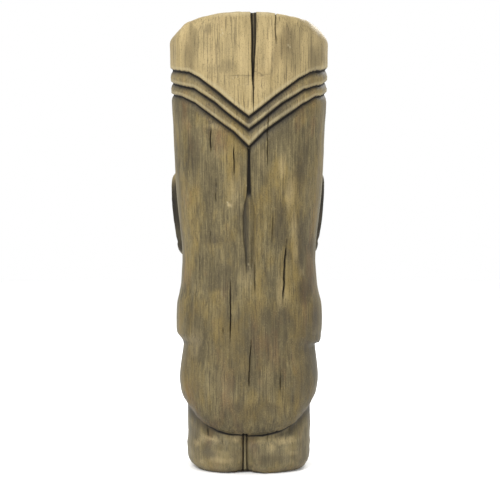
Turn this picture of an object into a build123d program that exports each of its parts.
"""Tiki figure: a hollow moulded resin figure that looks like a carved log, standing on its own feet.

Millimetres, +Z up. The figure faces -Y and its back is +Y, so its left hand is on +X.
The origin is on the floor, under the middle of the figure.

The skin is two moulded shells that meet on the plane y = 0. Inside, a timber post, three plywood ribs
and bonded seam tapes stiffen them. A plywood base board, screwed to blocks in the shells, closes the
bottom and carries the ballast, the threaded inserts for a plinth and the rubber pads it stands on.
"""

from build123d import *
from math import cos, pi, sin
import os

# Driving sizes of the whole figure
figure_height = 1000.0
rim_height = 2.0  # the shells' lower edge stands this far off the floor
wall = 9.0  # moulded resin and glass laminate
squareness = 2.6  # superellipse power of the log's outline: 2 is an ellipse
outline_points = 16
reach = 400.0  # longer than any cut has to be

# Carving
groove_depth = 5.0
groove_width = 9.0
relief_height = 9.0
cleft_x = 9.0  # the cleft between the heels lies a little to the figure's left
cleft_width = 7.0
cleft_floor = 92.0  # distance behind the middle where the cleft ends
front_gap_width = 26.0
front_gap_floor = 86.0  # distance in front of the middle where the gap between the legs ends
front_gap_top = 215.0

# Inner structure
inner_levels = (208.0, 282.0, 372.0, 456.0, 540.0, 768.0, 800.0)  # heights where the inner wall bends
tape_width = 50.0
tape_thickness = 3.0
tape_low, tape_high = 112.0, 950.0
rib_thickness = 9.0
fit_gap = 0.5
rib_heights = {"hip_rib": 250.0, "neck_rib": 480.0, "head_rib": 800.0}
post_side = 38.0
post_top = 960.0
socket_gap = 0.3
cleat_size = (20.0, 34.0, 30.0)
cleat_screw_levels = (9.0, 20.0)
hand_hole_x, hand_hole_radius = 82.0, 26.0

# Base
pad_height = 5.0
pad_radius = 15.0
pad_places = {
    "pad_front_right": (-68.0, -54.0),
    "pad_rear_right": (-68.0, 52.0),
    "pad_front_left": (68.0, -54.0),
    "pad_rear_left": (68.0, 52.0),
}
board_thickness = 18.0
board_half_width, board_back, board_front = 110.0, 92.0, 96.0
board_top = pad_height + board_thickness
insert_places = [(x, y) for x in (-40.0, 40.0) for y in (-35.0, 35.0)]
insert_bore = 3.4  # tapping size of an M8 thread
insert_barrel = 5.0
insert_flange = 11.0
insert_flange_thickness = 1.5
ballast_size = (150.0, 108.0, 66.0)
insert_pocket_depth = 40.0
block_height = 42.0

# Screws: radius of shank, radius of head, length
board_screw = (2.4, 4.6, 45.0)
cleat_screw = (1.9, 3.6, 30.0)
pad_screw = (1.8, 3.5, 14.0)
cap_height = 2.4
screw_gap = 0.1

# Height, half width, depth behind and depth in front of the log, from the seat to the crown
body_sections = [
    (90.0, 84.0, 118.0, 70.0),
    (104.0, 118.0, 134.0, 98.0),
    (150.0, 145.0, 140.0, 126.0),
    (208.0, 153.0, 141.0, 136.0),
    (282.0, 146.0, 139.0, 124.0),
    (300.0, 160.0, 139.0, 124.0),
    (372.0, 160.0, 138.0, 133.0),
    (456.0, 145.0, 136.0, 118.0),
    (540.0, 159.0, 140.0, 128.0),
    (768.0, 169.0, 146.0, 128.0),
    (800.0, 171.0, 147.0, 140.0),
    (950.0, 177.0, 150.0, 147.0),
    (984.0, 166.0, 149.0, 146.0),
    (figure_height, 148.0, 146.0, 143.0),
]
# The legs, which start inside the seat
leg_sections = [
    (rim_height, 122.0, 105.0, 112.0),
    (24.0, 137.0, 120.0, 134.0),
    (56.0, 138.0, 118.0, 128.0),
    (84.0, 138.0, 112.0, 112.0),
    (165.0, 136.0, 108.0, 112.0),
]


def outline(height, half_width, back, front, grow=0.0):
    """Level closed curve round the log: a superellipse with its own depth behind and in front."""
    points = []
    for i in range(outline_points):
        turn = 2 * pi * i / outline_points - pi / 2
        along, across = cos(turn), sin(turn)
        depth = back if across > 0 else front
        bend = 2 / squareness
        x = (half_width + grow) * abs(along) ** bend * (1 if along > 0 else -1)
        y = (depth + grow) * abs(across) ** bend * (1 if across > 0 else -1)
        points.append((x, y, height))
    return Face(Wire(Spline(*points, periodic=True)))


def stack(sections, grow=0.0):
    """Solid with straight runs between level outlines, each grown outwards or, if negative, inwards."""
    return loft([outline(*section, grow=grow) for section in sections], ruled=True)


def section_at(height):
    """The log's section at any height, between the listed ones."""
    for low, high in zip(body_sections, body_sections[1:]):
        if low[0] <= height <= high[0]:
            share = (height - low[0]) / (high[0] - low[0])
            return tuple(a + share * (b - a) for a, b in zip(low, high))
    raise ValueError(height)


def upright_box(x, y, low, high, width, depth):
    return Pos(x, y, (low + high) / 2) * Box(width, depth, high - low)


def upright_cylinder(x, y, low, high, radius):
    return Pos(x, y, (low + high) / 2) * Cylinder(radius, high - low)


def cleft_wall(inset):
    """Room that the walls either side of the two clefts take up inside the legs."""
    top = body_sections[0][0] + inset
    behind = upright_box(cleft_x, cleft_floor - inset + 50, -5, top, cleft_width + 2 * inset, 100)
    width, middle = front_gap_width + 2 * inset, inset - front_gap_floor - 75
    ahead = upright_box(0, middle, -5, front_gap_top + inset, width, 150)
    return behind + ahead


def hollow(inset):
    """Space inside the shells. It is plainer than the outside, so the wall is a little thicker in places."""
    floor_of_seat = body_sections[1][0] + inset
    sections = [section_at(h) for h in (floor_of_seat, *inner_levels, 950.0)]
    crown = (figure_height - inset,) + body_sections[-1][1:]
    legs = [(rim_height - 1,) + leg_sections[0][1:], leg_sections[3], leg_sections[4]]
    return stack(sections + [crown], -inset) + stack(legs, -inset) - cleft_wall(inset)


# Carving tools: a shape in the XZ plane, pushed through the back or the front of the log


def through_back(sketch):
    return extrude(Plane.XZ * sketch, reach, dir=(0, 1, 0))


def through_front(sketch):
    return extrude(Plane.XZ * sketch, reach, dir=(0, -1, 0))


def band(points, width):
    """Strip of constant width along straight runs between points."""
    return trace(Polyline(*points), width)


def grooves():
    """Three grooves round the head, which drop to a point behind, the check in the crown and the tail."""
    cuts = []
    for tip, knee, edge, brow in ((772, 858, 892, 884), (743, 832, 866, 858), (708, 801, 839, 832)):
        half_path = [(-185, edge), (-110, knee), (0, tip)]
        path = half_path + [(-x, z) for x, z in half_path[-2::-1]]
        cuts.append(through_back(band(path, groove_width)))
        cuts.append(through_front(band([(-185, edge), (-90, brow), (90, brow), (185, edge)], groove_width)))
    check = Polygon((-2, 1010), (-17, 1010), (-13, 875), (-10, 800), (-8, 800), (-3, 875), align=None)
    tail_left = [(5, 712), (5, 600), (14, 545), (13, 510), (1, 430)]
    tail = Polygon(*tail_left, *[(-x, z) for x, z in tail_left[::-1]], align=None)
    return Part() + cuts + [through_back(check), through_back(tail)]


def reliefs():
    """What stands out of the log: brow, eyes, mouth and arms in front, and an ear on each flank."""
    right_brow = [(-140, 770), (-110, 812), (-60, 818), (0, 790)]
    brow = band(right_brow + [(-x, z) for x, z in right_brow[-2::-1]], 26)
    raised = [through_front(brow), through_front(Pos(0, 566) * RectangleRounded(176, 66, 32))]
    for side in (-1, 1):
        raised.append(through_front(Pos(side * 72, 738) * Ellipse(42, 22)))
        arm = [(side * 150, 452), (side * 142, 330), (side * 95, 318), (side * 30, 356)]
        raised.append(through_front(band(arm, 42)))
        raised.append(extrude(Plane.YZ * Pos(-46, 566) * Ellipse(30, 96), reach, dir=(side, 0, 0)))
    return Part() + raised


def nose():
    profile = Polygon((-100, 800), (-142, 800), (-144, 720), (-150, 662), (-147, 640), (-100, 632), align=None)
    left_flank = [(14, 810), (26, 690), (44, 655), (40, 620)]
    flanks = Polygon(*left_flank, *[(-x, z) for x, z in left_flank[::-1]], align=None)
    return extrude(Plane.YZ * profile, 60, both=True) & through_front(flanks)


def figure():
    """The whole outside of the figure as one solid, before it is hollowed and parted."""
    head_on = [s for s in body_sections if s[0] >= 282.0]
    solid = stack(body_sections)
    solid += reliefs() & stack(head_on, relief_height)
    solid += nose()
    solid -= grooves() - stack(head_on, -groove_depth)
    solid += stack(leg_sections)
    solid -= upright_box(cleft_x, cleft_floor + 60, -5, body_sections[0][0] + 1, cleft_width, 120)
    solid -= upright_box(0, -front_gap_floor - 75, -5, front_gap_top, front_gap_width, 150)
    return solid


def half(solid, side):
    """The part of a solid behind (side 1) or in front (side -1) of the parting plane."""
    return solid & upright_box(0, side * reach / 2, -10, figure_height + 50, 2 * reach, reach)


def board_blank(inset, low, high):
    """Plate that fills the figure's open bottom, smaller all round by a clearance."""
    face = outline(low, board_half_width, board_back, board_front, grow=-inset)
    return extrude(face, high - low, dir=(0, 0, 1)) - cleft_wall(wall + inset)


def screw(x, y, low, sizes, gap=0.0):
    """Countersunk screw driven upwards: its head's flat underside is at low."""
    shank, head, length = sizes
    upwards = (Align.CENTER, Align.CENTER, Align.MIN)
    cone = Pos(x, y, low) * Cone(head + gap, shank + gap, head - shank, align=upwards)
    rod = Pos(x, y, low) * Cylinder(shank + gap, length + gap, align=upwards)
    return cone + rod


def side_screw(x, z, side, sizes, gap=0.0):
    """Pan head screw driven level into the post from the flank on that side."""
    shank, head, length = sizes
    rod = Cylinder(shank + gap, length + gap, align=(Align.CENTER, Align.CENTER, Align.MIN))
    cap = Cylinder(head + gap, cap_height, align=(Align.CENTER, Align.CENTER, Align.MAX))
    return Pos(x, 0, z) * Rot(0, -90 * side, 0) * (rod + cap)


def join(solids):
    return Compound(children=[s for solid in solids for s in solid.solids()])


def largest(solid):
    return max(solid.solids(), key=lambda s: s.volume)


def write(name, solid):
    export_step(solid, f"parts/{name}.step")


def make_shells():
    mouth = board_blank(0.0, -5, board_top)
    shell = figure() - (hollow(wall) + mouth)
    write("rear_shell", largest(half(shell, 1)))
    write("front_shell", largest(half(shell, -1)))


def make_seam_tapes():
    """Glass tape bonded over the inside of the joint, one up each flank, bent to the wall's profile."""
    heights = [tape_low, *inner_levels, tape_high]
    for name, side in (("seam_tape_left", 1), ("seam_tape_right", -1)):
        inset = wall + fit_gap + 2.5
        outer = [(side * (section_at(h)[1] - inset), h) for h in heights]
        inner = [(x - side * tape_thickness, h) for x, h in outer]
        strip = make_face(Polyline(*outer, *inner[::-1], close=True))
        write(name, extrude(Plane.XZ * strip, tape_width / 2, both=True))


def make_ribs_and_post():
    """Three plywood ribs round a timber post, each carried by two cleats screwed to the post."""
    post = upright_box(0, 0, board_top, post_top, post_side, post_side)
    socket = upright_box(0, 0, 0, figure_height, post_side + 2 * socket_gap, post_side + 2 * socket_gap)
    cleats, screws = [], []
    width, depth, tall = cleat_size
    for name, height in rib_heights.items():
        tighter = min(section_at(height), section_at(height + rib_thickness), key=lambda s: s[1])
        inset = wall + fit_gap + 2.5 + tape_thickness + fit_gap
        plate = extrude(outline(height, *tighter[1:], grow=-inset), rib_thickness, dir=(0, 0, 1)) - socket
        for side in (-1, 1):
            plate -= Pos(side * hand_hole_x, 0, height) * Cylinder(hand_hole_radius, 4 * rib_thickness)
            cleat = upright_box(side * (post_side + width) / 2, 0, height - tall, height, width, depth)
            for level in cleat_screw_levels:
                place = (side * (post_side / 2 + width), height - tall + level, side, cleat_screw)
                screws.append(side_screw(*place))
                cleat -= side_screw(*place, screw_gap)
                post -= side_screw(*place, screw_gap)
            cleats.append(cleat)
        write(name, largest(plate))
    write("rib_cleats", join(cleats))
    write("cleat_screws", join(screws))
    return post


def make_base(post):
    """Base board, the blocks it is screwed to, the threaded inserts and the pads."""
    board = board_blank(fit_gap, pad_height, board_top)
    blocks = {
        "side_block_left": ((98, 0, 32, 56), [(93, -18), (93, 18)]),
        "side_block_right": ((-98, 0, 32, 56), [(-93, -18), (-93, 18)]),
        "rear_block_left": ((52, 74, 30, 26), [(52, 72)]),
        "rear_block_right": ((-48, 74, 30, 26), [(-48, 72)]),
        "front_block_left": ((50, -76, 30, 26), [(50, -76)]),
        "front_block_right": ((-50, -76, 30, 26), [(-50, -76)]),
    }
    screws = []
    for name, ((x, y, width, depth), places) in blocks.items():
        block = upright_box(x, y, board_top, board_top + block_height, width, depth)
        for place in places:
            screws.append(screw(*place, pad_height, board_screw))
            board -= screw(*place, pad_height, board_screw, screw_gap)
            block -= screw(*place, pad_height, board_screw, screw_gap)
        write(name, block)
    write("board_screws", join(screws))

    post_screws = [screw(0, y, pad_height, board_screw) for y in (-10, 10)]
    for y in (-10, 10):
        hole = screw(0, y, pad_height, board_screw, screw_gap)
        board -= hole
        post -= hole
    write("post_screws", join(post_screws))
    write("spine_post", post)

    inserts = []
    for x, y in insert_places:
        barrel = upright_cylinder(x, y, pad_height, board_top, insert_barrel)
        flange = upright_cylinder(x, y, board_top, board_top + insert_flange_thickness, insert_flange)
        inserts.append(barrel + flange - upright_cylinder(x, y, 0, 2 * board_top, insert_bore))
        board -= upright_cylinder(x, y, 0, 2 * board_top, insert_barrel + screw_gap)
    write("threaded_inserts", join(inserts))

    pad_screws = []
    seat = pad_height / 2
    for name, (x, y) in pad_places.items():
        pad = upright_cylinder(x, y, 0, pad_height, pad_radius)
        pad = chamfer(pad.edges().group_by(Axis.Z)[0], 1.0)
        pad -= upright_cylinder(x, y, -1, seat, pad_screw[1] + 1.0)
        hole = screw(x, y, seat, pad_screw, screw_gap)
        write(name, pad - hole)
        board -= hole
        pad_screws.append(screw(x, y, seat, pad_screw))
    write("pad_screws", join(pad_screws))
    write("base_board", largest(board))


def make_ballast():
    """A concrete block cast round the foot of the post, with a pocket over each insert."""
    width, depth, tall = ballast_size
    side = post_side + 2 * socket_gap
    ballast = upright_box(0, 0, board_top, board_top + tall, width, depth)
    ballast -= upright_box(0, 0, 0, 2 * tall, side, side)
    for x, y in insert_places:
        ballast -= upright_cylinder(x, y, 0, board_top + insert_pocket_depth, insert_flange + 1)
    write("ballast_block", ballast)


os.makedirs("parts", exist_ok=True)
make_base(make_ribs_and_post())
make_seam_tapes()
make_ballast()
make_shells()
